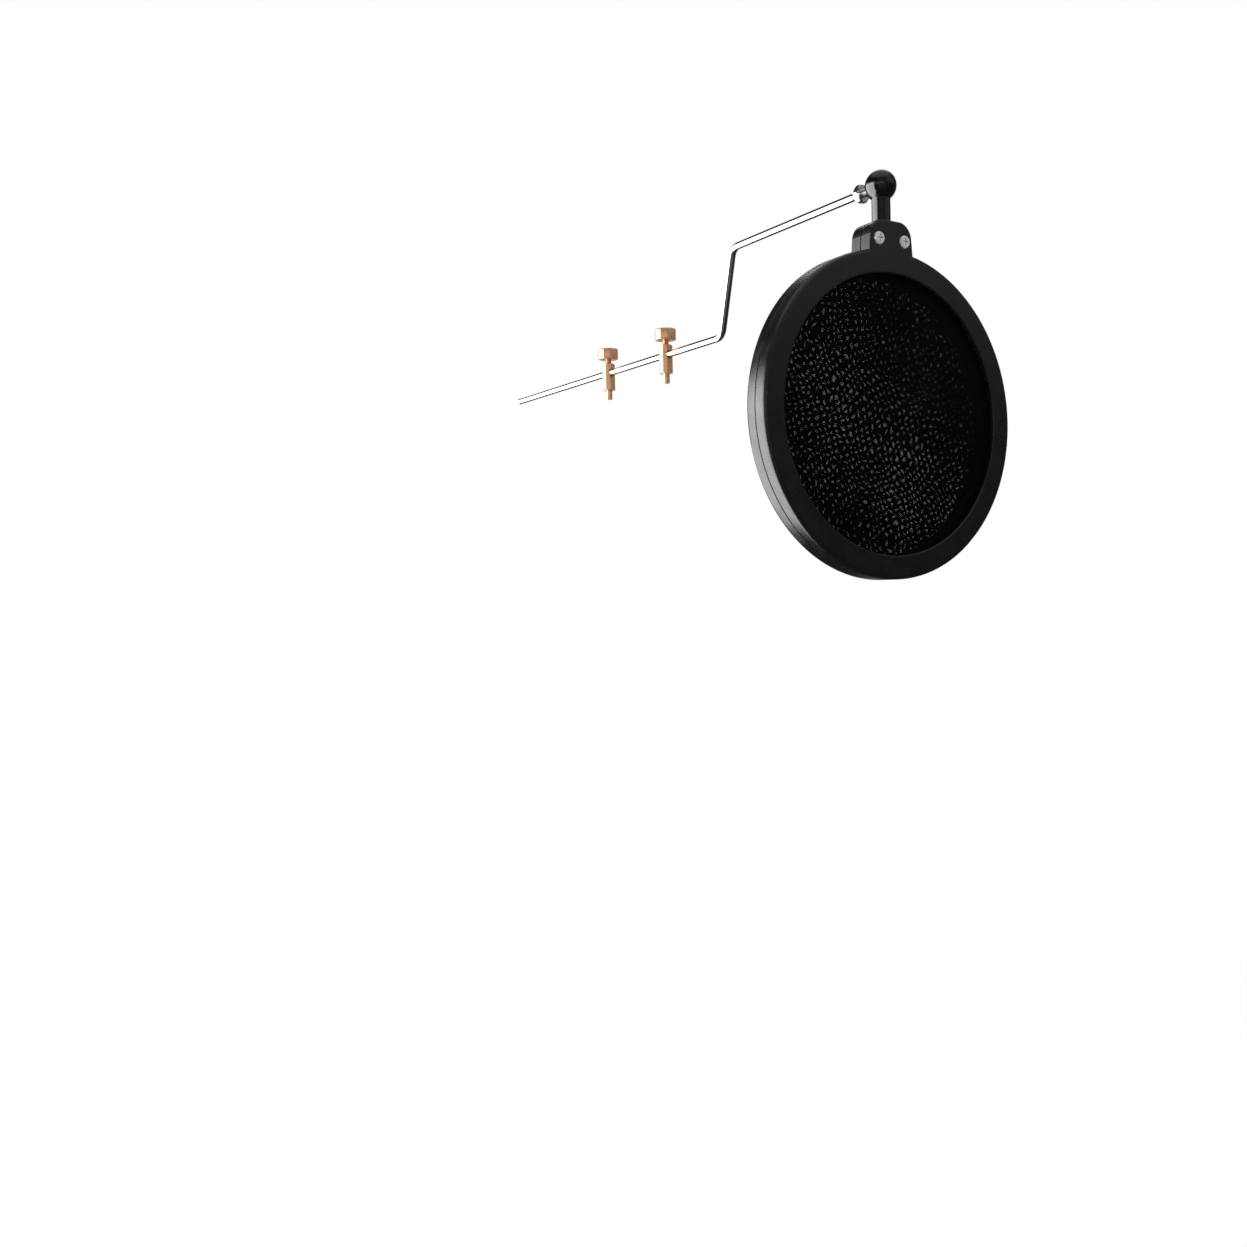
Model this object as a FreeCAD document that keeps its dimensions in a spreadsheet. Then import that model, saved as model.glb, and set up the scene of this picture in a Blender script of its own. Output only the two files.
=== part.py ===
import FreeCAD, Part
import math
import os

import Sketcher

# A double-mesh pop filter on a bent rod, held by two clamp posts with thumb screws.
# Millimetres. The origin is midway between the two posts on the surface they stand on,
# the rod runs along Y, the filter disc faces -Y, and +Z is up.

os.makedirs("parts", exist_ok=True)
doc = FreeCAD.newDocument("pop_filter")
sheet = doc.addObject("Spreadsheet::Sheet", "sizes")

DRIVING_SIZES = [
    # where the groups stand
    ("post_spacing", 67.0),
    ("rod_height", 11.0),
    ("head_forward", 220.0),
    ("disc_drop", 51.0),
    # filter disc
    ("disc_diameter", 155.0),
    ("opening_diameter", 132.4),
    ("disc_thickness", 14.0),
    ("shell_wall", 1.8),
    ("rim_round", 2.0),
    ("opening_round", 0.6),
    ("seam_bevel", 0.3),
    ("lip_width", 1.4),
    ("mesh_diameter", 142.0),
    ("mesh_thickness", 0.3),
    ("mesh_depth", 2.6),
    ("hoop_width", 3.6),
    ("hoop_thickness", 1.1),
    ("spacer_width", 4.6),
    ("lap_depth", 2.0),
    ("lap_wall", 1.3),
    ("lap_gap", 0.1),
    # tab on top of the disc
    ("tab_base_width", 28.0),
    ("tab_taper", 5.0),
    ("tab_base_height", 72.0),
    ("tab_height", 91.2),
    ("tab_corner", 8.0),
    ("tab_edge_round", 1.2),
    # tab screws and nuts
    ("screw_spacing", 16.0),
    ("screw_height", 82.0),
    ("screw_diameter", 3.0),
    ("screw_length", 12.0),
    ("screw_head_diameter", 6.0),
    ("screw_head_height", 1.9),
    ("screw_recess_width", 0.7),
    ("screw_recess_depth", 1.2),
    ("screw_hole", 3.3),
    ("counterbore_diameter", 6.8),
    ("counterbore_depth", 1.0),
    ("tab_nut_flats", 5.5),
    ("tab_nut_height", 2.4),
    ("tab_nut_recess", 1.0),
    # stem and ball
    ("stem_diameter", 8.9),
    ("spigot_diameter", 6.4),
    ("foot_diameter", 8.2),
    ("foot_height", 2.0),
    ("foot_bottom", 74.0),
    ("swivel_gap", 0.05),
    ("ball_diameter", 15.0),
    ("ball_height", 109.0),
    ("ball_flat", 6.6),
    ("insert_diameter", 6.4),
    ("insert_length", 8.2),
    # lock nut on the rod's threaded end
    ("lock_nut_flats", 8.0),
    ("lock_nut_start", 11.8),
    ("lock_nut_height", 3.0),
    ("nut_chamfer", 0.6),
    # bent rod
    ("rod_diameter", 4.0),
    ("rod_end", 1.4),
    ("rod_tail", 161.0),
    ("bend_radius", 6.0),
    ("lower_bend_centre", 86.0),
    ("upper_bend_centre", 107.5),
    ("tip_chamfer", 0.5),
    # clamp posts and thumb screws
    ("post_diameter", 8.0),
    ("post_height", 16.8),
    ("post_chamfer", 0.4),
    ("cross_hole", 4.16),
    ("cross_hole_mouth", 5.2),
    ("mouth_depth", 0.6),
    ("clamp_thread", 4.0),
    ("clamp_shank", 3.9),
    ("clamp_tip_gap", 0.1),
    ("stud_diameter", 4.0),
    ("stud_length", 6.0),
    ("thumb_head_bottom", 19.8),
    ("thumb_head_height", 6.6),
    ("thumb_head_diameter", 12.6),
    ("thumb_round", 0.6),
]
for row, (alias, number) in enumerate(DRIVING_SIZES, start=1):
    sheet.set(f"A{row}", alias)
    sheet.set(f"B{row}", str(number))
    sheet.setAlias(f"B{row}", alias)
doc.recompute()

SUB_PARTS = []


def value(text):
    """The number that an expression over the sheet gives."""
    return float(sheet.evalExpression(text))


def new_body(name, x="0", y="0", z="0"):
    """An empty body whose label names its file, standing at the given place."""
    body = doc.addObject("PartDesign::Body", name)
    body.Label = name
    for axis, text in zip("xyz", (x, y, z)):
        body.setExpression(f"Placement.Base.{axis}", text)
    SUB_PARTS.append(body)
    return body


def disc_body(name):
    """A body whose own origin is the centre of the filter disc."""
    return new_body(name, y="-sizes.head_forward", z="-sizes.disc_drop")


def ball_body(name):
    """A body whose own origin is the centre of the ball, on the rod's upper axis."""
    return new_body(name, y="-sizes.head_forward", z="sizes.ball_height - sizes.disc_drop")


def new_sketch(body, role, name, offset=None):
    """A sketch on one of the body's own origin planes, moved along its normal."""
    plane = next(item for item in body.Origin.OriginFeatures if item.Role == role)
    sketch = body.newObject("Sketcher::SketchObject", f"{body.Name}_{name}")
    sketch.AttachmentSupport = [(plane, "")]
    sketch.MapMode = "FlatFace"
    if offset:
        sketch.setExpression("AttachmentOffset.Base.z", offset)
    return sketch


def bind(sketch, kind, places, text):
    """A dimension of the sketch, driven by an expression."""
    index = sketch.addConstraint(Sketcher.Constraint(kind, *places, value(text)))
    sketch.setExpression(f"Constraints[{index}]", text)


def arc_between(start, end, radius):
    """The short arc from start to end, turning left for a positive radius."""
    chord = end - start
    half = chord.Length / 2
    side = FreeCAD.Vector(-chord.y, chord.x, 0).normalize() * math.copysign(1, radius)
    centre = start + chord / 2 + side * math.sqrt(max(radius**2 - half**2, 0))
    middle = centre - side * abs(radius)
    return Part.Arc(start, middle, end)


def outline(sketch, corners):
    """A closed outline. A corner is (x, y) or (x, y, radius of the arc to the next)."""
    places = [FreeCAD.Vector(value(corner[0]), value(corner[1]), 0) for corner in corners]
    first = sketch.GeometryCount
    count = len(corners)
    ends = []
    for i, corner in enumerate(corners):
        start, end = places[i], places[(i + 1) % count]
        if len(corner) == 2:
            sketch.addGeometry(Part.LineSegment(start, end))
            ends.append((1, 2))
            continue
        sketch.addGeometry(arc_between(start, end, value(corner[2])))
        # an arc is stored anticlockwise, so one that turns right starts at its end point
        ends.append((1, 2) if value(corner[2]) > 0 else (2, 1))
    for i in range(count):
        following = (i + 1) % count
        joint = (first + i, ends[i][1], first + following, ends[following][0])
        sketch.addConstraint(Sketcher.Constraint("Coincident", *joint))
    for i, corner in enumerate(corners):
        bind(sketch, "DistanceX", (-1, 1, first + i, ends[i][0]), corner[0])
        bind(sketch, "DistanceY", (-1, 1, first + i, ends[i][0]), corner[1])
        if len(corner) == 3:
            radius = corner[2].lstrip("-")
            bind(sketch, "Radius", (first + i,), radius)


def circle(sketch, x, y, diameter):
    """A circle with its centre at (x, y)."""
    centre = FreeCAD.Vector(value(x), value(y), 0)
    radius = value(diameter) / 2
    index = sketch.addGeometry(Part.Circle(centre, FreeCAD.Vector(0, 0, 1), radius))
    bind(sketch, "DistanceX", (-1, 1, index, 3), x)
    bind(sketch, "DistanceY", (-1, 1, index, 3), y)
    bind(sketch, "Diameter", (index,), diameter)


def box_outline(sketch, left, bottom, right, top):
    outline(sketch, [(left, bottom), (right, bottom), (right, top), (left, top)])


def hexagon(sketch, x, y, flats):
    """A hexagon with a flat at its top and bottom."""
    corner = f"({flats}) / 2 / cos(30 deg)"
    turns = [60 * i for i in range(6)]
    outline(
        sketch,
        [(f"{x} + {corner} * cos({a} deg)", f"{y} + {corner} * sin({a} deg)") for a in turns],
    )


def revolve(sketch, axis="V_Axis", cut=False):
    """Turns a sketch round one of its own axes, adding or cutting."""
    body = sketch.getParentGeoFeatureGroup()
    kind = "Groove" if cut else "Revolution"
    feature = body.newObject(f"PartDesign::{kind}", f"{sketch.Name}_{kind}")
    feature.Profile = sketch
    feature.ReferenceAxis = (sketch, [axis])
    feature.Angle = 360
    return feature


def extrude(sketch, length, cut=False, reverse=False):
    """Pads or pockets a sketch. It pads along the sketch's normal, and cuts against it."""
    body = sketch.getParentGeoFeatureGroup()
    kind = "Pocket" if cut else "Pad"
    feature = body.newObject(f"PartDesign::{kind}", f"{sketch.Name}_{kind}")
    feature.Profile = sketch
    feature.setExpression("Length", length)
    feature.Reversed = reverse
    return feature


def soften(feature, chosen, size, chamfer=False):
    """Rounds or chamfers the edges that chosen(edge) picks."""
    doc.recompute()
    body = feature.getParentGeoFeatureGroup()
    names = [f"Edge{i}" for i, edge in enumerate(feature.Shape.Edges, 1) if chosen(edge)]
    kind = "Chamfer" if chamfer else "Fillet"
    softened = body.newObject(f"PartDesign::{kind}", f"{feature.Name}_{kind}")
    softened.Base = (feature, names)
    softened.setExpression("Size" if chamfer else "Radius", size)
    return softened


def is_circle(edge, radius):
    return edge.Curve.TypeId == "Part::GeomCircle" and abs(edge.Curve.Radius - radius) < 1e-4


HALF = "sizes.disc_thickness / 2"
RIM = "sizes.disc_diameter / 2"
OPENING = "sizes.opening_diameter / 2"
MESH_FACE = f"({HALF} - sizes.mesh_depth)"


def shell_half(name, side):
    """One moulded shell: side is "-" for the front half and "" for the rear one."""
    body = disc_body(name)
    rear = side == ""

    def off_seam(distance):
        return f"{side}1 * ({distance})"

    # tab: sides that lean in by the taper, round shoulders tangent to them, a flat top
    tab = new_sketch(body, "XZ_Plane", "tab")
    lean = "(sizes.tab_taper * 1 deg)"
    base = "sizes.tab_base_width / 2"
    centre_height = "(sizes.tab_height - sizes.tab_corner)"
    centre = (
        f"({base} - ({centre_height} - sizes.tab_base_height) * tan({lean})"
        f" - sizes.tab_corner / cos({lean}))"
    )
    shoulder = f"({centre} + sizes.tab_corner * cos({lean}))"
    shoulder_height = f"{centre_height} + sizes.tab_corner * sin({lean})"
    outline(
        tab,
        [
            (f"-1 * {base}", "sizes.tab_base_height"),
            (base, "sizes.tab_base_height"),
            (shoulder, shoulder_height, "sizes.tab_corner"),
            (centre, "sizes.tab_height"),
            (f"-1 * {centre}", "sizes.tab_height", "sizes.tab_corner"),
            (f"-1 * {shoulder}", shoulder_height),
        ],
    )
    pad = extrude(tab, HALF, reverse=rear)
    low = value("sizes.tab_base_height")

    def in_plane(y):
        def chosen(edge):
            box = edge.BoundBox
            flat = abs(box.YMin - y) < 1e-4 and abs(box.YMax - y) < 1e-4
            return flat and box.ZMax > low + 0.1

        return chosen

    rounded = soften(pad, in_plane(value(off_seam(HALF))), "sizes.tab_edge_round")
    soften(rounded, in_plane(0), "sizes.seam_bevel", chamfer=True)

    # rim: outer wall, flat face and a lip that presses on the mesh
    rim = new_sketch(body, "XY_Plane", "rim")
    turn = "" if rear else "-"
    profile = [
        (f"{RIM} - sizes.seam_bevel", "0"),
        (RIM, off_seam("sizes.seam_bevel")),
        (RIM, off_seam(f"{HALF} - sizes.rim_round"), f"{turn}sizes.rim_round"),
        (f"{RIM} - sizes.rim_round", off_seam(HALF)),
        (f"{OPENING} + sizes.opening_round", off_seam(HALF), f"{turn}sizes.opening_round"),
        (OPENING, off_seam(f"{HALF} - sizes.opening_round")),
        (OPENING, off_seam(MESH_FACE)),
        (f"{OPENING} + sizes.lip_width", off_seam(MESH_FACE)),
        (f"{OPENING} + sizes.lip_width", off_seam(f"{HALF} - sizes.shell_wall")),
        (f"{RIM} - sizes.shell_wall", off_seam(f"{HALF} - sizes.shell_wall")),
        (f"{RIM} - sizes.shell_wall", "0"),
    ]
    outline(rim, profile)
    revolve(rim)

    if rear:
        # lap rib: reaches into the front shell and centres it
        inner = f"{RIM} - sizes.shell_wall - sizes.lap_gap - sizes.lap_wall"
        lap = new_sketch(body, "XY_Plane", "lap")
        outline(
            lap,
            [
                (inner, "-sizes.lap_depth"),
                (f"{RIM} - sizes.shell_wall - sizes.lap_gap", "-sizes.lap_depth"),
                (f"{RIM} - sizes.shell_wall - sizes.lap_gap", "0"),
                (f"{RIM} - sizes.shell_wall / 2", "0"),
                (f"{RIM} - sizes.shell_wall / 2", "sizes.lap_depth"),
                (inner, "sizes.lap_depth"),
            ],
        )
        revolve(lap)
        # the rib stops short of the front half of the tab
        gap = new_sketch(body, "XZ_Plane", "lap_gap")
        reach = "sizes.tab_base_width / 2 + sizes.lap_gap"
        box_outline(gap, f"-1 * ({reach})", "60", reach, "100")
        extrude(gap, "sizes.lap_depth + 1", cut=True, reverse=True)

    # half of the round socket that grips the stem's spigot and foot
    socket = new_sketch(body, "XZ_Plane", "socket")
    spigot = "sizes.spigot_diameter / 2 + sizes.swivel_gap"
    foot = "sizes.foot_diameter / 2 + sizes.swivel_gap"
    foot_top = "sizes.foot_bottom + sizes.foot_height + sizes.swivel_gap"
    outline(
        socket,
        [
            ("0", "sizes.foot_bottom - sizes.swivel_gap"),
            (foot, "sizes.foot_bottom - sizes.swivel_gap"),
            (foot, foot_top),
            (spigot, foot_top),
            (spigot, "sizes.tab_height + 1"),
            ("0", "sizes.tab_height + 1"),
        ],
    )
    revolve(socket, cut=True)

    # screw holes, then counterbores in front or nut pockets behind
    holes = new_sketch(body, "XZ_Plane", "screw_holes")
    seats = new_sketch(body, "XZ_Plane", "screw_seats", offset=f"-1 * ({off_seam(HALF)})")
    for x in ("-1 * sizes.screw_spacing / 2", "sizes.screw_spacing / 2"):
        circle(holes, x, "sizes.screw_height", "sizes.screw_hole")
        if rear:
            hexagon(seats, x, "sizes.screw_height", "sizes.tab_nut_flats")
        else:
            circle(seats, x, "sizes.screw_height", "sizes.counterbore_diameter")
    extrude(holes, HALF, cut=True, reverse=not rear)
    nut_pocket = "sizes.tab_nut_height + sizes.tab_nut_recess"
    depth = nut_pocket if rear else "sizes.counterbore_depth"
    extrude(seats, depth, cut=True, reverse=rear)


def flat_ring(name, inner, outer, low, high):
    """A ring round the disc's axis with a rectangular section."""
    body = disc_body(name)
    section = new_sketch(body, "XY_Plane", "section")
    box_outline(section, inner, low, outer, high)
    revolve(section)


def mesh_stack():
    """The two mesh discs, their tension hoops and the spacer between them."""
    mesh_edge = "sizes.mesh_diameter / 2"
    behind_mesh = f"({MESH_FACE} - sizes.mesh_thickness)"
    behind_hoop = f"({behind_mesh} - sizes.hoop_thickness)"
    hoop = f"{mesh_edge} - sizes.hoop_width"
    spacer = f"{mesh_edge} - sizes.spacer_width"
    flat_ring("front_mesh", "0", mesh_edge, f"-1 * {MESH_FACE}", f"-1 * {behind_mesh}")
    flat_ring("rear_mesh", "0", mesh_edge, behind_mesh, MESH_FACE)
    flat_ring("front_tension_hoop", hoop, mesh_edge, f"-1 * {behind_mesh}", f"-1 * {behind_hoop}")
    flat_ring("rear_tension_hoop", hoop, mesh_edge, behind_hoop, behind_mesh)
    flat_ring("spacer_ring", spacer, mesh_edge, f"-1 * {behind_hoop}", behind_hoop)


def tab_screw(side):
    """A pan-head machine screw with a cross recess, along Y."""
    body = doc.addObject("PartDesign::Body", f"tab_screw_{'left' if side < 0 else 'right'}")
    body.setExpression("Placement.Base.x", f"{side} * sizes.screw_spacing / 2")
    body.setExpression("Placement.Base.y", "-sizes.head_forward")
    body.setExpression("Placement.Base.z", "sizes.screw_height - sizes.disc_drop")
    under_head = f"-1 * {HALF} + sizes.counterbore_depth"
    top = f"{under_head} - sizes.screw_head_height"
    section = new_sketch(body, "XY_Plane", "section")
    outline(
        section,
        [
            ("0", top),
            ("sizes.screw_head_diameter / 2 - sizes.screw_head_height / 2", top,
             "sizes.screw_head_height / 2"),
            ("sizes.screw_head_diameter / 2", f"{top} + sizes.screw_head_height / 2"),
            ("sizes.screw_head_diameter / 2", under_head),
            ("sizes.screw_diameter / 2", under_head),
            ("sizes.screw_diameter / 2", f"{under_head} + sizes.screw_length"),
            ("0", f"{under_head} + sizes.screw_length"),
        ],
    )
    revolve(section)
    recess = new_sketch(body, "XZ_Plane", "recess", offset=f"-1 * ({top})")
    arm, half_arm = "sizes.screw_head_diameter * 0.3", "sizes.screw_recess_width / 2"
    cross = [
        (arm, half_arm), (half_arm, half_arm), (half_arm, arm),
        (f"-1 * {half_arm}", arm), (f"-1 * {half_arm}", half_arm), (f"-1 * {arm}", half_arm),
        (f"-1 * {arm}", f"-1 * {half_arm}"), (f"-1 * {half_arm}", f"-1 * {half_arm}"),
        (f"-1 * {half_arm}", f"-1 * {arm}"), (half_arm, f"-1 * {arm}"),
        (half_arm, f"-1 * {half_arm}"), (arm, f"-1 * {half_arm}"),
    ]
    outline(recess, cross)
    extrude(recess, "sizes.screw_recess_depth", cut=True)
    return body


def tab_nut(side):
    """A hexagon nut, sunk in its pocket at the back of the tab."""
    body = doc.addObject("PartDesign::Body", f"tab_nut_{'left' if side < 0 else 'right'}")
    body.setExpression("Placement.Base.x", f"{side} * sizes.screw_spacing / 2")
    body.setExpression("Placement.Base.y", "-sizes.head_forward")
    body.setExpression("Placement.Base.z", "sizes.screw_height - sizes.disc_drop")
    face = new_sketch(body, "XZ_Plane", "face", offset=f"sizes.tab_nut_recess - {HALF}")
    hexagon(face, "0", "0", "sizes.tab_nut_flats - 0.1")
    circle(face, "0", "0", "sizes.screw_diameter")
    extrude(face, "sizes.tab_nut_height")
    return body


def group(name, members):
    """Identical fasteners as one node of separate solids."""
    compound = doc.addObject("Part::Compound", name)
    compound.Label = name
    compound.Links = members
    SUB_PARTS.append(compound)


def ball_stem():
    """The gloss stem: ball, neck, then a spigot and foot held in the tab's socket."""
    body = new_body("ball_stem", y="-sizes.head_forward", z="-sizes.disc_drop")
    neck = "sizes.stem_diameter / 2"
    spigot = "sizes.spigot_diameter / 2"
    foot = "sizes.foot_diameter / 2"
    ball = "sizes.ball_diameter / 2"
    neck_top = f"sizes.ball_height - sqrt(({ball})^2 - ({neck})^2)"
    section = new_sketch(body, "XZ_Plane", "section")
    outline(
        section,
        [
            ("0", "sizes.foot_bottom"),
            (foot, "sizes.foot_bottom"),
            (foot, "sizes.foot_bottom + sizes.foot_height"),
            (spigot, "sizes.foot_bottom + sizes.foot_height"),
            (spigot, "sizes.tab_height + sizes.swivel_gap"),
            (neck, "sizes.tab_height + sizes.swivel_gap"),
            (neck, neck_top, ball),
            (ball, "sizes.ball_height", ball),
            ("0", f"sizes.ball_height + {ball}"),
        ],
    )
    revolve(section)
    # a small flat, and the pocket in it for the threaded insert
    flat = new_sketch(body, "XZ_Plane", "flat", offset=f"-1 * ({ball} + 1)")
    circle(flat, "0", "sizes.ball_height", "sizes.ball_diameter + 2")
    extrude(flat, f"{ball} + 1 - sizes.ball_flat", cut=True, reverse=True)
    pocket = new_sketch(body, "XZ_Plane", "insert_pocket", offset="-1 * sizes.ball_flat")
    circle(pocket, "0", "sizes.ball_height", "sizes.insert_diameter")
    extrude(pocket, "sizes.insert_length", cut=True, reverse=True)


def ball_insert():
    """The brass threaded insert in the ball."""
    body = ball_body("ball_insert")
    section = new_sketch(body, "XY_Plane", "section")
    bore = "sizes.rod_diameter / 2 + sizes.swivel_gap"
    start = "sizes.ball_flat - sizes.insert_length"
    box_outline(section, bore, start, "sizes.insert_diameter / 2", "sizes.ball_flat")
    revolve(section)


def lock_nut():
    """The thin hexagon lock nut, chamfered at both ends, on the rod's threaded end."""
    body = ball_body("lock_nut")
    face = new_sketch(body, "XZ_Plane", "face", offset="-1 * sizes.lock_nut_start")
    hexagon(face, "0", "0", "sizes.lock_nut_flats")
    circle(face, "0", "0", "sizes.rod_diameter + 2 * sizes.swivel_gap")
    extrude(face, "sizes.lock_nut_height", reverse=True)
    corner = "sizes.lock_nut_flats / 2 / cos(30 deg)"
    flat_half = "sizes.lock_nut_flats / 2"
    slope = f"sizes.nut_chamfer / ({corner} - {flat_half})"
    for number, (end, inward) in enumerate(
        (
            ("sizes.lock_nut_start", "+"),
            ("sizes.lock_nut_start + sizes.lock_nut_height", "-"),
        )
    ):
        chamfer = new_sketch(body, "XY_Plane", f"chamfer_{number}")
        corners = [
            (flat_half, end),
            (f"{corner} + 1", end),
            (f"{corner} + 1", f"{end} {inward} {slope} * ({corner} + 1 - {flat_half})"),
        ]
        outline(chamfer, corners)
        revolve(chamfer, cut=True)


def bent_rod():
    """One bent rod: tail through both posts, a leaning riser, then the upper run.

    Its upper end is threaded, carries the lock nut and screws into the ball's insert.
    """
    body = new_body("bent_rod")
    path = new_sketch(body, "YZ_Plane", "path")
    lower = value("sizes.rod_height")
    upper = value("sizes.ball_height - sizes.disc_drop")
    radius = value("sizes.bend_radius")
    tail = value("sizes.rod_tail")
    start = "-sizes.head_forward - sizes.rod_end"
    first = FreeCAD.Vector(-value("sizes.lower_bend_centre"), lower + radius, 0)
    second = FreeCAD.Vector(-value("sizes.upper_bend_centre"), upper - radius, 0)
    # the riser is the inner common tangent of the two bend circles
    between = second - first
    lean = math.atan2(between.y, between.x) - math.asin(2 * radius / between.Length)
    across = FreeCAD.Vector(math.sin(lean), -math.cos(lean), 0) * radius
    riser_low = first - across
    riser_high = second + across
    low_start = FreeCAD.Vector(first.x, lower, 0)
    high_end = FreeCAD.Vector(second.x, upper, 0)

    def bend(centre, begin, finish):
        toward = (begin + finish - centre * 2).normalize() * radius
        return Part.Arc(begin, centre + toward, finish)

    path.addGeometry(Part.LineSegment(FreeCAD.Vector(tail, lower, 0), low_start))
    path.addGeometry(bend(first, low_start, riser_low))
    path.addGeometry(Part.LineSegment(riser_low, riser_high))
    path.addGeometry(bend(second, riser_high, high_end))
    path.addGeometry(Part.LineSegment(high_end, FreeCAD.Vector(value(start), upper, 0)))
    points = {
        (i, end): path.getPoint(i, end) for i in range(5) for end in (1, 2)
    }
    for i in range(4):
        near = min(
            ((a, b) for a in (1, 2) for b in (1, 2)),
            key=lambda pair: points[(i, pair[0])].distanceToPoint(points[(i + 1, pair[1])]),
        )
        path.addConstraint(Sketcher.Constraint("Tangent", i, near[0], i + 1, near[1]))
    path.addConstraint(Sketcher.Constraint("Horizontal", 0))
    path.addConstraint(Sketcher.Constraint("Horizontal", 4))
    bind(path, "DistanceX", (-1, 1, 0, 1), "sizes.rod_tail")
    bind(path, "DistanceY", (-1, 1, 0, 1), "sizes.rod_height")
    bind(path, "Radius", (1,), "sizes.bend_radius")
    bind(path, "Radius", (3,), "sizes.bend_radius")
    bind(path, "DistanceX", (-1, 1, 1, 3), "-sizes.lower_bend_centre")
    bind(path, "DistanceX", (-1, 1, 3, 3), "-sizes.upper_bend_centre")
    bind(path, "DistanceX", (-1, 1, 4, 2), start)
    bind(path, "DistanceY", (-1, 1, 4, 2), "sizes.ball_height - sizes.disc_drop")

    section = new_sketch(body, "XZ_Plane", "section", offset="-sizes.rod_tail")
    circle(section, "0", "sizes.rod_height", "sizes.rod_diameter")
    pipe = body.newObject("PartDesign::AdditivePipe", "bent_rod_pipe")
    pipe.Profile = section
    pipe.Spine = path
    tip = value("sizes.rod_tail")
    radius = value("sizes.rod_diameter / 2")

    def at_tip(edge):
        return is_circle(edge, radius) and abs(edge.Curve.Center.y - tip) < 1e-4

    soften(pipe, at_tip, "sizes.tip_chamfer", chamfer=True)

    doc.recompute()
    runs = [path.Geometry[i].length() for i in range(5)]
    swept = math.pi * radius**2 * sum(runs)
    print(f"bent_rod: centre line {sum(runs):.1f} mm, volume {body.Shape.Volume:.0f} of {swept:.0f}")


def clamp_post(name, side):
    """A turned post with a cross hole for the rod and a stud below it."""
    body = new_body(name, y=f"{side} * sizes.post_spacing / 2")
    post = "sizes.post_diameter / 2"
    stud = "sizes.stud_diameter / 2"
    bore = "sizes.clamp_thread / 2"
    section = new_sketch(body, "XZ_Plane", "section")
    outline(
        section,
        [
            ("0", "-sizes.stud_length"),
            (f"{stud} - sizes.post_chamfer", "-sizes.stud_length"),
            (stud, "-sizes.stud_length + sizes.post_chamfer"),
            (stud, "0"),
            (post, "0"),
            (post, "sizes.post_height - sizes.post_chamfer"),
            (f"{post} - sizes.post_chamfer", "sizes.post_height"),
            (bore, "sizes.post_height"),
            (bore, "sizes.rod_height"),
            ("0", "sizes.rod_height"),
        ],
    )
    revolve(section)
    hole = new_sketch(body, "XZ_Plane", "cross_hole", offset=f"-1 * ({post} + 1)")
    circle(hole, "0", "sizes.rod_height", "sizes.cross_hole")
    extrude(hole, f"2 * ({post} + 1)", cut=True, reverse=True)
    # a countersink at each mouth of the cross hole
    mouth = new_sketch(body, "XY_Plane", "mouths", offset="sizes.rod_height")
    narrow, wide = "sizes.cross_hole / 2", "sizes.cross_hole_mouth / 2"
    for sign in ("-1", "1"):
        outline(
            mouth,
            [
                ("0", f"{sign} * ({post} - sizes.mouth_depth - 0.3)"),
                (narrow, f"{sign} * ({post} - sizes.mouth_depth - 0.3)"),
                (wide, f"{sign} * ({post} + 0.1)"),
                ("0", f"{sign} * ({post} + 0.1)"),
            ],
        )
    revolve(mouth, cut=True)


def thumb_screw(name, side):
    """A thumb screw with a broad round head, threaded down onto the rod."""
    body = new_body(name, y=f"{side} * sizes.post_spacing / 2")
    shank = "sizes.clamp_shank / 2"
    head = "sizes.thumb_head_diameter / 2"
    tip = "sizes.rod_height + sizes.rod_diameter / 2 + sizes.clamp_tip_gap"
    top = "(sizes.thumb_head_bottom + sizes.thumb_head_height)"
    section = new_sketch(body, "XZ_Plane", "section")
    outline(
        section,
        [
            ("0", tip),
            (f"{shank} - 0.3", tip),
            (shank, f"{tip} + 0.3"),
            (shank, "sizes.thumb_head_bottom"),
            (f"{head} - sizes.thumb_round", "sizes.thumb_head_bottom", "sizes.thumb_round"),
            (head, "sizes.thumb_head_bottom + sizes.thumb_round"),
            (head, f"{top} - sizes.thumb_round", "sizes.thumb_round"),
            (f"{head} - sizes.thumb_round", top),
            ("0", top),
        ],
    )
    revolve(section)


shell_half("front_ring", "-")
shell_half("rear_ring", "")
mesh_stack()
group("tab_screws", [tab_screw(side) for side in (-1, 1)])
group("tab_nuts", [tab_nut(side) for side in (-1, 1)])
ball_stem()
ball_insert()
lock_nut()
bent_rod()
for name, side in (("front", -1), ("rear", 1)):
    clamp_post(f"{name}_clamp_post", side)
    thumb_screw(f"{name}_thumb_screw", side)

doc.recompute()
failed = [item.Name for item in doc.Objects if {"Invalid", "Error"} & set(item.State)]
failed += [
    part.Label for part in SUB_PARTS if part.Shape.isNull() or not part.Shape.isValid()
]
if failed:
    raise RuntimeError(f"these did not build: {failed}")
for part in SUB_PARTS:
    print(f"{part.Label}: {len(part.Shape.Solids)} solid(s), {part.Shape.Volume:.1f} mm3")
    part.Shape.exportStep(f"parts/{part.Label}.step")
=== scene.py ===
import math

import bmesh
import bpy
import numpy as np
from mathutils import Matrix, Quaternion, Vector


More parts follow.
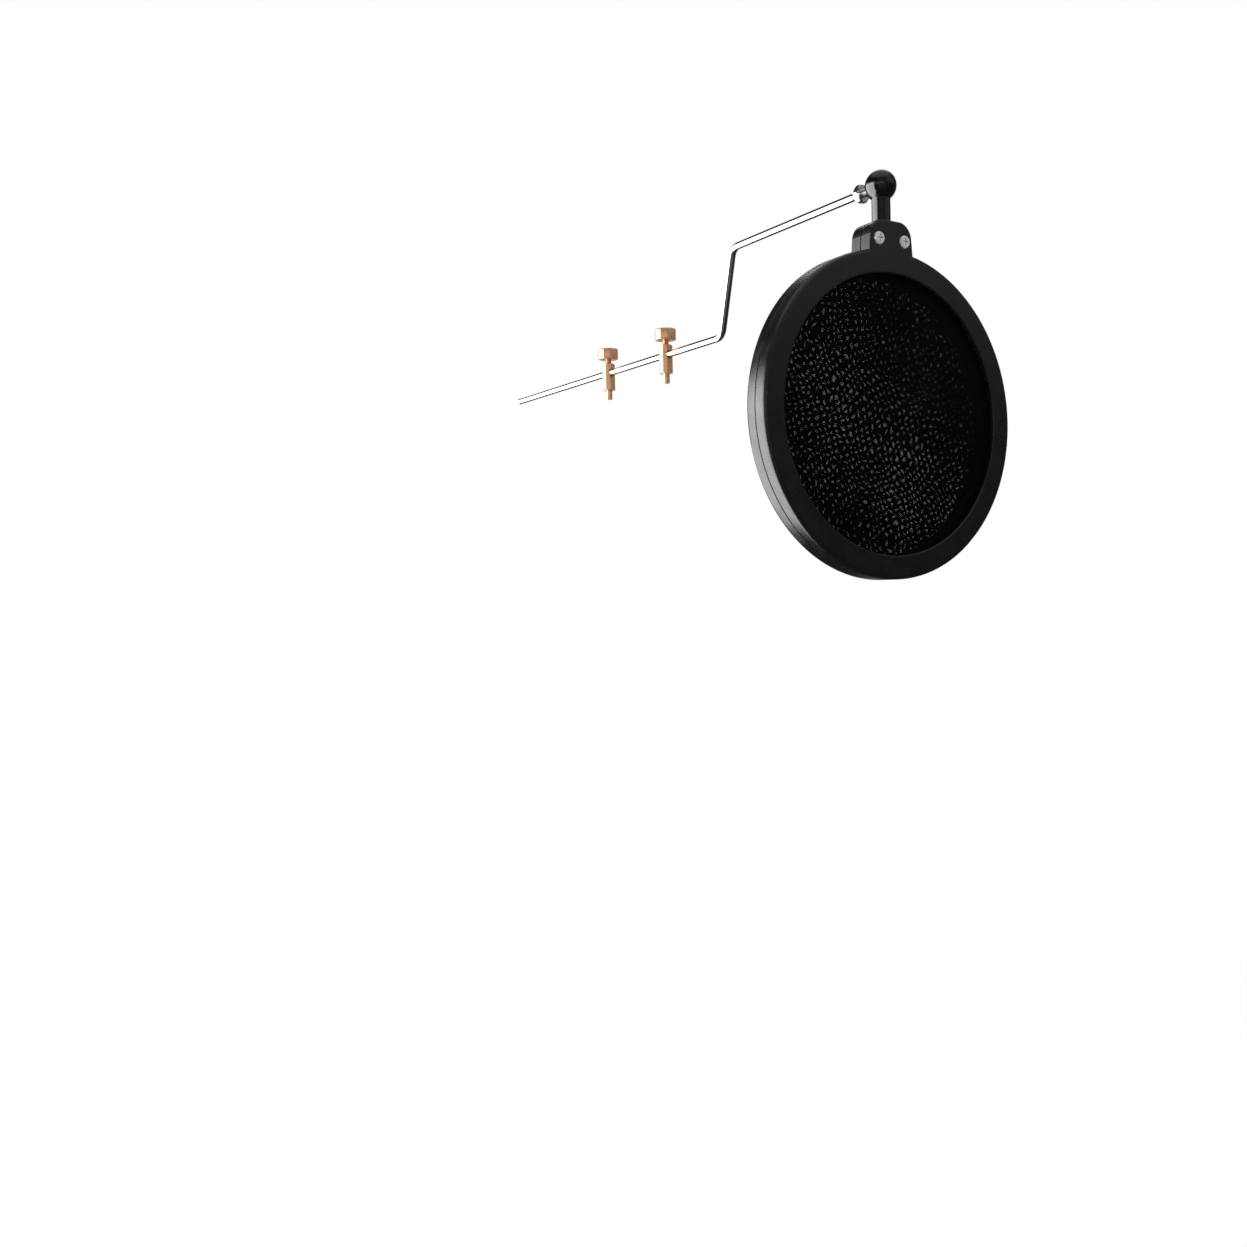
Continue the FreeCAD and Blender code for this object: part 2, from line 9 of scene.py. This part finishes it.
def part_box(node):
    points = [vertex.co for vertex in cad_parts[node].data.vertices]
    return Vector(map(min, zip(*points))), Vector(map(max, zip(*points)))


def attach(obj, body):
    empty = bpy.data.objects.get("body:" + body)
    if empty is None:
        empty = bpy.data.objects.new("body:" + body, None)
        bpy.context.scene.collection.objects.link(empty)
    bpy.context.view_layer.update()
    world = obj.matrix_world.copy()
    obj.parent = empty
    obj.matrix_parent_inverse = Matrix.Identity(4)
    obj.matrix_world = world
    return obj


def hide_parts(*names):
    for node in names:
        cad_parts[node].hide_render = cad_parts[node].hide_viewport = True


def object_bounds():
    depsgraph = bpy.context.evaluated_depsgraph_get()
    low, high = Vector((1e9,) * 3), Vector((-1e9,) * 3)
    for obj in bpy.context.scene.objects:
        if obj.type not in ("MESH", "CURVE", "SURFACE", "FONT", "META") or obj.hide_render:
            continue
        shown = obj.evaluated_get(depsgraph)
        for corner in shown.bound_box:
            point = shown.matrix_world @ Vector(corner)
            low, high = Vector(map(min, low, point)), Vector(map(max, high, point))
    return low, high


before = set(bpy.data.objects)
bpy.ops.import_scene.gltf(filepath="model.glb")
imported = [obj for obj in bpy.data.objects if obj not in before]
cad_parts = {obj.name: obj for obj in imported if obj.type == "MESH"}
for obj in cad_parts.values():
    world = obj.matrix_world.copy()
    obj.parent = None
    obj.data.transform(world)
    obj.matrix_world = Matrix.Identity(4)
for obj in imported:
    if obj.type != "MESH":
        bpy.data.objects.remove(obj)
cad_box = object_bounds()

MM = 0.001

# Camera: metres in the part's frame.
CAMERA_PLACE = (-0.4219, -0.6668, -0.1339)
CAMERA_LOOK = (0.52185, 0.85279, -0.02066)
CAMERA_ROLL = -1.347
CAMERA_LENS = 36.39

# Studio
FLOOR_DROP = 0.16
FLOOR_RADIUS = 60
FLOOR_ALBEDO = 0.9
BACKDROP_WHITE = 1.0
ROOM_GLOW = 0.03


# ---------------------------------------------------------------- shader helpers


def new_material(name):
    """A material with one principled shader: the material, its node tree, the shader."""
    material = bpy.data.materials.new(name)
    material.use_nodes = True
    tree = material.node_tree
    tree.nodes.clear()
    shader = tree.nodes.new("ShaderNodeBsdfPrincipled")
    output = tree.nodes.new("ShaderNodeOutputMaterial")
    tree.links.new(shader.outputs["BSDF"], output.inputs["Surface"])
    return material, tree, shader


def math_node(tree, operation, *values):
    """A math node; each value is a number or a socket. Returns its output."""
    node = tree.nodes.new("ShaderNodeMath")
    node.operation = operation
    for socket, value in zip(node.inputs, values):
        if isinstance(value, bpy.types.NodeSocket):
            tree.links.new(value, socket)
        else:
            socket.default_value = value
    return node.outputs[0]


def smooth_step(tree, value, low, high, out_low=0.0, out_high=1.0):
    """Goes smoothly from out_low to out_high as value goes from low to high."""
    node = tree.nodes.new("ShaderNodeMapRange")
    node.interpolation_type = "SMOOTHSTEP"
    tree.links.new(value, node.inputs["Value"])
    node.inputs["From Min"].default_value = low
    node.inputs["From Max"].default_value = high
    node.inputs["To Min"].default_value = out_low
    node.inputs["To Max"].default_value = out_high
    return node.outputs["Result"]


def noise(tree, scale, detail, roughness=0.5):
    """A noise texture over object space, in features per metre."""
    node = tree.nodes.new("ShaderNodeTexNoise")
    node.inputs["Scale"].default_value = scale
    node.inputs["Detail"].default_value = detail
    node.inputs["Roughness"].default_value = roughness
    places = tree.nodes.new("ShaderNodeTexCoord").outputs["Object"]
    tree.links.new(places, node.inputs["Vector"])
    return node.outputs["Fac"]


def bump(tree, shader, height, distance, normal=None):
    """Bends the shading normal as a height from 0 to 1, times distance in metres, would."""
    node = tree.nodes.new("ShaderNodeBump")
    node.inputs["Distance"].default_value = distance
    tree.links.new(height, node.inputs["Height"])
    if normal is not None:
        tree.links.new(normal, node.inputs["Normal"])
    tree.links.new(node.outputs["Normal"], shader.inputs["Normal"])


def mix_colour(tree, factor, first, second):
    """The first colour where factor is 0, the second where it is 1."""
    node = tree.nodes.new("ShaderNodeMix")
    node.data_type = "RGBA"
    tree.links.new(factor, node.inputs["Factor"])
    node.inputs["A"].default_value = (*first, 1)
    node.inputs["B"].default_value = (*second, 1)
    return node.outputs["Result"]


# The sizes of noise below are in features per metre.
PLASTIC_BLOTCHES = 45
PLASTIC_BLOTCH_TONE = 1.7
PLASTIC_GLOSS_PATCHES = 120
PLASTIC_IOR = 1.5
METAL_BLOTCHES = 60
METAL_SMEARS = 150
BEVEL_SAMPLES = 6


def plastic(name, colour, roughness, grain, grain_depth, spread=0.06, shine=1.0, soften=0.0):
    """Moulded plastic: a fine grain, uneven gloss, and edges softened by some metres."""
    material, tree, shader = new_material(name)
    blotches = noise(tree, PLASTIC_BLOTCHES, detail=4)
    tone = mix_colour(tree, blotches, colour, [c * PLASTIC_BLOTCH_TONE for c in colour])
    tree.links.new(tone, shader.inputs["Base Color"])
    patches = noise(tree, PLASTIC_GLOSS_PATCHES, detail=5)
    gloss = smooth_step(tree, patches, 0.3, 0.7, roughness - spread, roughness + spread)
    tree.links.new(gloss, shader.inputs["Roughness"])
    shader.inputs["IOR"].default_value = PLASTIC_IOR
    shader.inputs["Specular IOR Level"].default_value = shine
    normal = None
    if soften:
        edge = tree.nodes.new("ShaderNodeBevel")
        edge.samples = BEVEL_SAMPLES
        edge.inputs["Radius"].default_value = soften
        normal = edge.outputs["Normal"]
    bump(tree, shader, noise(tree, grain, detail=2), grain_depth, normal=normal)
    return material


def metal(name, colour, tint, roughness, marks, marks_depth, spread=0.02, metallic=1.0):
    """Polished or plated metal with faint marks and smears. Below metallic 1 it is satin."""
    material, tree, shader = new_material(name)
    tone = mix_colour(tree, noise(tree, METAL_BLOTCHES, detail=4), colour, tint)
    tree.links.new(tone, shader.inputs["Base Color"])
    shader.inputs["Metallic"].default_value = metallic
    smears = noise(tree, METAL_SMEARS, detail=6, roughness=0.65)
    gloss = smooth_step(tree, smears, 0.35, 0.75, roughness, roughness + spread)
    tree.links.new(gloss, shader.inputs["Roughness"])
    bump(tree, shader, noise(tree, marks, detail=4), marks_depth)
    return material


# ---------------------------------------------------------------- shapes

SHARP_DEGREES = 35
LATHE_SIDES = 96
ROUNDING_STEPS = 6


def add_mesh(name, points, faces, material):
    """A new object in world coordinates, smooth except at edges over SHARP_DEGREES."""
    mesh = bpy.data.meshes.new(name)
    mesh.from_pydata(points, [], faces)
    work = bmesh.new()
    work.from_mesh(mesh)
    bmesh.ops.recalc_face_normals(work, faces=work.faces)
    work.to_mesh(mesh)
    work.free()
    mesh.shade_smooth()
    mesh.set_sharp_from_angle(angle=math.radians(SHARP_DEGREES))
    mesh.materials.append(material)
    thing = bpy.data.objects.new(name, mesh)
    bpy.context.scene.collection.objects.link(thing)
    return thing


def skin(name, rings, material):
    """Joins rings of equal count into a tube closed by a fan at each end."""
    count = len(rings[0])
    points = [point for ring in rings for point in ring]
    faces = []
    for i in range(len(rings) - 1):
        for j in range(count):
            k = (j + 1) % count
            faces.append((i * count + j, i * count + k, (i + 1) * count + k, (i + 1) * count + j))
    for start in (0, (len(rings) - 1) * count):
        points.append(sum((points[start + j] for j in range(count)), Vector()) / count)
        faces += [(start + j, start + (j + 1) % count, len(points) - 1) for j in range(count)]
    return add_mesh(name, points, faces, material)


def rounded(corners):
    """A profile from (radius, height, rounding) corners, each rounding made a curve."""
    profile = []
    for i, (radius, height, rounding) in enumerate(corners):
        here = Vector((radius, height))
        if rounding == 0:
            profile.append(here)
            continue
        before = (Vector(corners[i - 1][:2]) - here).normalized() * rounding
        after = (Vector(corners[i + 1][:2]) - here).normalized() * rounding
        for step in range(ROUNDING_STEPS + 1):
            t = step / ROUNDING_STEPS
            profile.append(here + before * (1 - t) ** 2 + after * t**2)
    return profile


def groove(distance, angle, pitch):
    """How deep in a screw thread's groove a point is, from 0 at the crest to 1."""
    turn = (distance / pitch - angle / (2 * math.pi)) % 1.0
    return min(1.0, max(0.0, 1.5 * (1 - abs(2 * turn - 1)) - 0.2))


def lathe(name, profile, centre, material, thread):
    """Turns a profile round a vertical axis, with a thread of (low, high, pitch, depth)."""
    low, high, pitch, depth = thread
    rings = []
    for radius, height in profile:
        ring = []
        for j in range(LATHE_SIDES):
            angle = 2 * math.pi * j / LATHE_SIDES
            reach = radius
            if low < height < high:
                reach -= depth * groove(height, angle, pitch)
            x, y = centre[0] + reach * math.cos(angle), centre[1] + reach * math.sin(angle)
            ring.append(Vector((x, y, height)))
        rings.append(ring)
    return skin(name, rings, material)


# ---------------------------------------------------------------- stage


def add_camera():
    """The camera at its fitted place, level but for a small roll."""
    data = bpy.data.cameras.new("camera")
    data.lens = CAMERA_LENS
    data.sensor_width = 36
    data.clip_start = 0.01
    camera = bpy.data.objects.new("camera", data)
    bpy.context.scene.collection.objects.link(camera)
    look = Vector(CAMERA_LOOK).to_track_quat("-Z", "Y")
    camera.rotation_mode = "QUATERNION"
    camera.rotation_quaternion = look @ Quaternion((0, 0, 1), math.radians(CAMERA_ROLL))
    camera.location = CAMERA_PLACE
    bpy.context.scene.camera = camera


def add_world():
    """White to the eye, even to matt surfaces, and a studio of panels to glossy ones."""
    world = bpy.data.worlds.new("studio")
    bpy.context.scene.world = world
    world.use_nodes = True
    tree = world.node_tree
    tree.nodes.clear()
    direction = tree.nodes.new("ShaderNodeTexCoord").outputs["Generated"]
    split = tree.nodes.new("ShaderNodeSeparateXYZ")
    tree.links.new(direction, split.inputs[0])
    x, y, z = split.outputs
    left = math_node(tree, "MULTIPLY", x, -1.0)
    azimuth = math_node(tree, "DEGREES", math_node(tree, "ARCTAN2", left, y))
    height = math_node(tree, "DEGREES", math_node(tree, "ARCSINE", z))

    def window(value, low, high, soft):
        """1 between low and high degrees, with soft edges."""
        rise = smooth_step(tree, value, low - soft, low + soft)
        fall = smooth_step(tree, value, high - soft, high + soft, 1.0, 0.0)
        return math_node(tree, "MULTIPLY", rise, fall)

    def panel(azimuths, heights, radiance, soft):
        """A light in a range of degrees: azimuth from +Y towards -X, and elevation."""
        shape = math_node(
            tree, "MULTIPLY", window(azimuth, *azimuths, soft), window(height, *heights, soft)
        )
        return math_node(tree, "MULTIPLY", shape, radiance)

    panels = [
        # tall softbox behind and to the left: the bright bands on the rim, stem and ball
        panel((10, 88), (-58, 20), 4.4, soft=5),
        # pale wall behind and to the right
        panel((-75, -25), (-12, 60), 0.55, soft=6),
        # overhead panel
        panel((-180, 180), (52, 90), 0.4, soft=8),
        # low-front-right card that lifts the top of the ring and mesh
        panel((-178, -110), (12, 50), 0.18, soft=5),
        # narrow strip left of the camera: the pale half of the posts and thumb screws
        panel((92, 164), (3, 12), 0.4, soft=3),
        # fill beside the camera
        panel((116, 175), (-30, 45), 0.08, soft=10),
    ]
    total = panels[0]
    for item in panels[1:]:
        total = math_node(tree, "ADD", total, item)
    total = math_node(tree, "ADD", total, ROOM_GLOW)

    rays = tree.nodes.new("ShaderNodeLightPath")

    def background(strength):
        node = tree.nodes.new("ShaderNodeBackground")
        node.inputs["Color"].default_value = (1, 1, 1, 1)
        if isinstance(strength, float):
            node.inputs["Strength"].default_value = strength
        else:
            tree.links.new(strength, node.inputs["Strength"])
        return node.outputs[0]

    def choose(factor, first, second):
        node = tree.nodes.new("ShaderNodeMixShader")
        tree.links.new(factor, node.inputs[0])
        tree.links.new(first, node.inputs[1])
        tree.links.new(second, node.inputs[2])
        return node.outputs[0]

    even = background(BACKDROP_WHITE / FLOOR_ALBEDO)
    lit = choose(rays.outputs["Is Diffuse Ray"], background(total), even)
    seen = choose(rays.outputs["Is Camera Ray"], lit, background(BACKDROP_WHITE))
    output = tree.nodes.new("ShaderNodeOutputWorld")
    tree.links.new(seen, output.inputs["Surface"])


def add_floor():
    """A plain pale floor well below the part, which glossy surfaces don't reflect."""
    bpy.ops.mesh.primitive_circle_add(vertices=96, radius=FLOOR_RADIUS, fill_type="NGON")
    floor = bpy.context.object
    floor.name = "floor"
    floor.location.z = cad_box[0].z - FLOOR_DROP
    floor.visible_glossy = False
    material, tree, shader = new_material("floor")
    shader.inputs["Base Color"].default_value = (FLOOR_ALBEDO,) * 3 + (1,)
    shader.inputs["Roughness"].default_value = 0.9
    shader.inputs["Specular IOR Level"].default_value = 0.0
    floor.data.materials.append(material)


# ---------------------------------------------------------------- materials

RING_PLASTIC = plastic(
    "ring_plastic", (0.003, 0.003, 0.0032), 0.29, 2600, 0.00001, soften=0.6 * MM
)
STEM_PLASTIC = plastic(
    "stem_plastic", (0.002, 0.002, 0.0022), 0.15, 900, 0.000003, 0.04, soften=0.6 * MM
)
NYLON = plastic("nylon", (0.0004, 0.0004, 0.0005), 0.5, 3000, 0.00002, shine=0.14)
HOOP_PLASTIC = plastic("hoop_plastic", (0.02, 0.02, 0.021), 0.5, 2000, 0.00003)
CHROME = metal("chrome", (0.86, 0.86, 0.87), (0.8, 0.8, 0.82), 0.08, 700, 0.000004)
NICKEL = metal("nickel", (0.78, 0.77, 0.74), (0.68, 0.67, 0.64), 0.2, 900, 0.000006, metallic=0.55)
BRASS = metal("brass", (0.8, 0.6, 0.3), (0.7, 0.5, 0.24), 0.25, 900, 0.00001)
COPPER = metal(
    "copper", (0.95, 0.56, 0.34), (0.88, 0.47, 0.27), 0.16, 800, 0.000003, metallic=0.7
)

CAD_FINISHES = {
    "front_ring": RING_PLASTIC,
    "rear_ring": RING_PLASTIC,
    "front_tension_hoop": HOOP_PLASTIC,
    "rear_tension_hoop": HOOP_PLASTIC,
    "spacer_ring": HOOP_PLASTIC,
    "tab_screws": NICKEL,
    "tab_nuts": NICKEL,
    "ball_stem": STEM_PLASTIC,
    "ball_insert": BRASS,
    "lock_nut": CHROME,
    "front_clamp_post": COPPER,
    "rear_clamp_post": COPPER,
}

# ---------------------------------------------------------------- pieces

# Bent rod
ROD_BEND = 6 * MM
LOWER_BEND_Y = -86 * MM
UPPER_BEND_Y = -107.5 * MM
ROD_THREAD = {"pitch": 0.7 * MM, "depth": 0.3 * MM, "run": 19.6 * MM}
TIP_CHAMFER = 0.5 * MM
ROD_SIDES = 48
BEND_STEPS = 20
STRAIGHT_STEP = 4 * MM
THREAD_STEPS = 8


def rod_route(tail_y, end_y, low_z, high_z):
    """The rod's centre line from its tail, as (place, heading in the YZ plane) steps."""
    steps = []

    def straight(start, end, spacing):
        run = end - start
        count = max(1, round(run.length / spacing))
        heading = math.atan2(run.z, run.y)
        steps.extend((start + run * i / count, heading) for i in range(count + 1))

    def bend(centre, begin, finish, side):
        for i in range(1, BEND_STEPS):
            heading = begin + (finish - begin) * i / BEND_STEPS
            left = Vector((0, -math.sin(heading), math.cos(heading)))
            steps.append((centre + left * ROD_BEND * side, heading))

    first = Vector((0, LOWER_BEND_Y, low_z + ROD_BEND))
    second = Vector((0, UPPER_BEND_Y, high_z - ROD_BEND))
    between = second - first
    lean = math.atan2(between.z, between.y) - math.asin(2 * ROD_BEND / between.length)
    left = Vector((0, -math.sin(lean), math.cos(lean))) * ROD_BEND
    straight(Vector((0, tail_y, low_z)), Vector((0, first.y, low_z)), STRAIGHT_STEP)
    bend(first, math.pi, lean, 1)
    straight(first + left, second - left, STRAIGHT_STEP)
    bend(second, lean, math.pi, -1)
    thread_start = Vector((0, end_y + ROD_THREAD["run"], high_z))
    straight(Vector((0, second.y, high_z)), thread_start, STRAIGHT_STEP)
    straight(thread_start, Vector((0, end_y, high_z)), ROD_THREAD["pitch"] / THREAD_STEPS)
    return steps


def add_rod():
    """The chrome rod, with a chamfered tail and a thread on its upper end."""
    low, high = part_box("bent_rod")
    radius = (high.x - low.x) / 2
    route = rod_route(high.y, low.y, low.z + radius, high.z - radius)
    thread_from = low.y + ROD_THREAD["run"]
    rings = []
    for place, heading in route:
        across = Vector((0, -math.sin(heading), math.cos(heading)))
        on_upper_run = place.z > low.z + 10 * radius
        ring = []
        for j in range(ROD_SIDES):
            angle = 2 * math.pi * j / ROD_SIDES
            reach = radius
            if on_upper_run and place.y < thread_from:
                fade = min(1.0, (thread_from - place.y) / ROD_THREAD["pitch"])
                reach -= ROD_THREAD["depth"] * fade * groove(place.y, angle, ROD_THREAD["pitch"])
            sideways = Vector((math.cos(angle), 0, 0)) * reach
            ring.append(place + sideways + across * reach * math.sin(angle))
        rings.append(ring)
    # chamfer at the tail: a smaller ring on the end, then the full one
    tail = route[0][0]
    full = [point + Vector((0, -TIP_CHAMFER, 0)) for point in rings[0]]
    small = [tail + (point - tail) * (1 - TIP_CHAMFER / radius) for point in rings[0]]
    rod = skin("rod_bent_round", [small, full] + rings[1:], CHROME)
    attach(rod, "rod")
    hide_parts("bent_rod")


# Thumb screws
CLAMP_THREAD = {"pitch": 0.7 * MM, "depth": 0.3 * MM}
HEAD_HEIGHT = 6.6 * MM
SHANK_RADIUS = 1.95 * MM
SHANK_TIP_CHAMFER = 0.4 * MM
AXIS_GAP = 0.2 * MM
DISH_DEPTH = 0.5 * MM


def add_thumb_screw(place):
    """A polished thumb screw: a broad head with a shallow dish, and a threaded shank."""
    low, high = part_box(f"{place}_thumb_screw")
    centre = ((low.x + high.x) / 2, (low.y + high.y) / 2)
    head = (high.x - low.x) / 2
    under = high.z - HEAD_HEIGHT
    profile = [Vector((AXIS_GAP, low.z)), Vector((SHANK_RADIUS - SHANK_TIP_CHAMFER, low.z))]
    count = round((under - low.z) / (CLAMP_THREAD["pitch"] / THREAD_STEPS))
    for i in range(1, count + 1):
        profile.append(Vector((SHANK_RADIUS, low.z + (under - low.z) * i / count)))
    profile += rounded(
        [
            (SHANK_RADIUS, under, 0),
            (head, under, 0.7 * MM),
            (head, high.z, 0.8 * MM),
            (head * 0.72, high.z, 0.3 * MM),
            (head * 0.66, high.z - DISH_DEPTH, 0.3 * MM),
            (AXIS_GAP, high.z - DISH_DEPTH, 0),
        ]
    )[1:]
    thread = (low.z, under - 0.2 * MM, CLAMP_THREAD["pitch"], CLAMP_THREAD["depth"])
    screw = lathe(f"{place}_thumb_screw_turned", profile, centre, COPPER, thread)
    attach(screw, f"{place}_thumb_screw")
    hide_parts(f"{place}_thumb_screw")


# Nylon
NYLON_PITCH = 0.62 * MM
NYLON_THREAD = 0.455 * MM
NYLON_EDGE_GAP = 0.1 * MM
# how far the threads rise and dip, as a share of half the mesh's thickness
NYLON_LIFT = 0.3
# how far the threads wander, in pitches per unit of drift
NYLON_WANDER = 0.16
# waves of drift: radians per metre along u and along v, and size
DRIFT_WAVES = ((110, 60, 2.0), (-190, 260, 1.0), (520, 350, 0.6), (-780, 920, 0.45), (1500, 600, 0.3))
# the cloth is slack, with thinner threads, along a diagonal band
SLACK_WAVE = 40
SLACK_PLACE = 18 * MM
SLACK_THINNING = 0.06


def drift(u, v, phase, reach):
    """How far a stretched cloth's threads wander, smoothly over the cloth."""
    total = np.zeros_like(u)
    for i, (a, b, size) in enumerate(DRIFT_WAVES):
        total += size * np.sin(a * u + b * v + phase * (i + 1.7))
    return total * reach


def add_nylon(place, turn, phase):
    """A plain-woven nylon disc: two sets of flat threads that pass over and under."""
    low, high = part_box(f"{place}_mesh")
    radius = (high.x - low.x) / 2 - NYLON_EDGE_GAP
    centre = (low + high) / 2
    lift = (high.y - low.y) / 2 * NYLON_LIFT
    cos, sin = math.cos(turn), math.sin(turn)
    count = int(2 * radius / NYLON_PITCH)
    grid = (np.arange(count) + 0.5) * NYLON_PITCH - count * NYLON_PITCH / 2
    points, faces = [], []
    total = 0
    for upright in (True, False):
        for i, across in enumerate(grid):
            inside = np.nonzero(across**2 + grid**2 < radius**2)[0]
            if len(inside) < 4:
                continue
            along = grid[inside]
            fixed = np.full_like(along, across)
            u, v = (fixed, along) if upright else (along, fixed)
            u = u + drift(u, v, phase, NYLON_WANDER * NYLON_PITCH)
            v = v + drift(v, u, phase + 2.1, NYLON_WANDER * NYLON_PITCH)
            over = np.where((inside + i) % 2 == 0, 1.0, -1.0) * (1 if upright else -1)
            diagonal = u * (cos + sin) + v * (cos - sin)
            slack = np.cos(SLACK_WAVE * (diagonal + SLACK_PLACE))
            slack = slack + drift(0.4 * v, 0.4 * u, phase + 4.4, 0.4)
            half = NYLON_THREAD / 2 * (1 - SLACK_THINNING * slack)
            for side in (-half, half):
                x, z = (u + side, v) if upright else (u, v + side)
                across_x = centre.x + x * cos - z * sin
                across_z = centre.z + x * sin + z * cos
                points.append(np.column_stack([across_x, centre.y + over * lift, across_z]))
            n = len(along)
            first = total + np.arange(n - 1)
            faces.append(np.column_stack([first, first + 1, first + 1 + n, first + n]))
            total += 2 * n
    points = np.concatenate(points)
    faces = np.concatenate(faces)
    mesh = bpy.data.meshes.new(f"{place}_nylon")
    mesh.from_pydata(points.tolist(), [], faces.tolist())
    mesh.shade_smooth()
    mesh.materials.append(NYLON)
    cloth = bpy.data.objects.new(f"{place}_nylon", mesh)
    bpy.context.scene.collection.objects.link(cloth)
    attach(cloth, "filter_head")
    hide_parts(f"{place}_mesh")


# ---------------------------------------------------------------- the scene

bpy.context.scene.view_settings.view_transform = "Standard"
add_camera()
add_world()
add_floor()

add_rod()
for place in ("front", "rear"):
    add_thumb_screw(place)
add_nylon("front", turn=0.45, phase=0.4)
add_nylon("rear", turn=0.26, phase=1.9)

for node, material in CAD_FINISHES.items():
    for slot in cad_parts[node].material_slots:
        slot.material = material
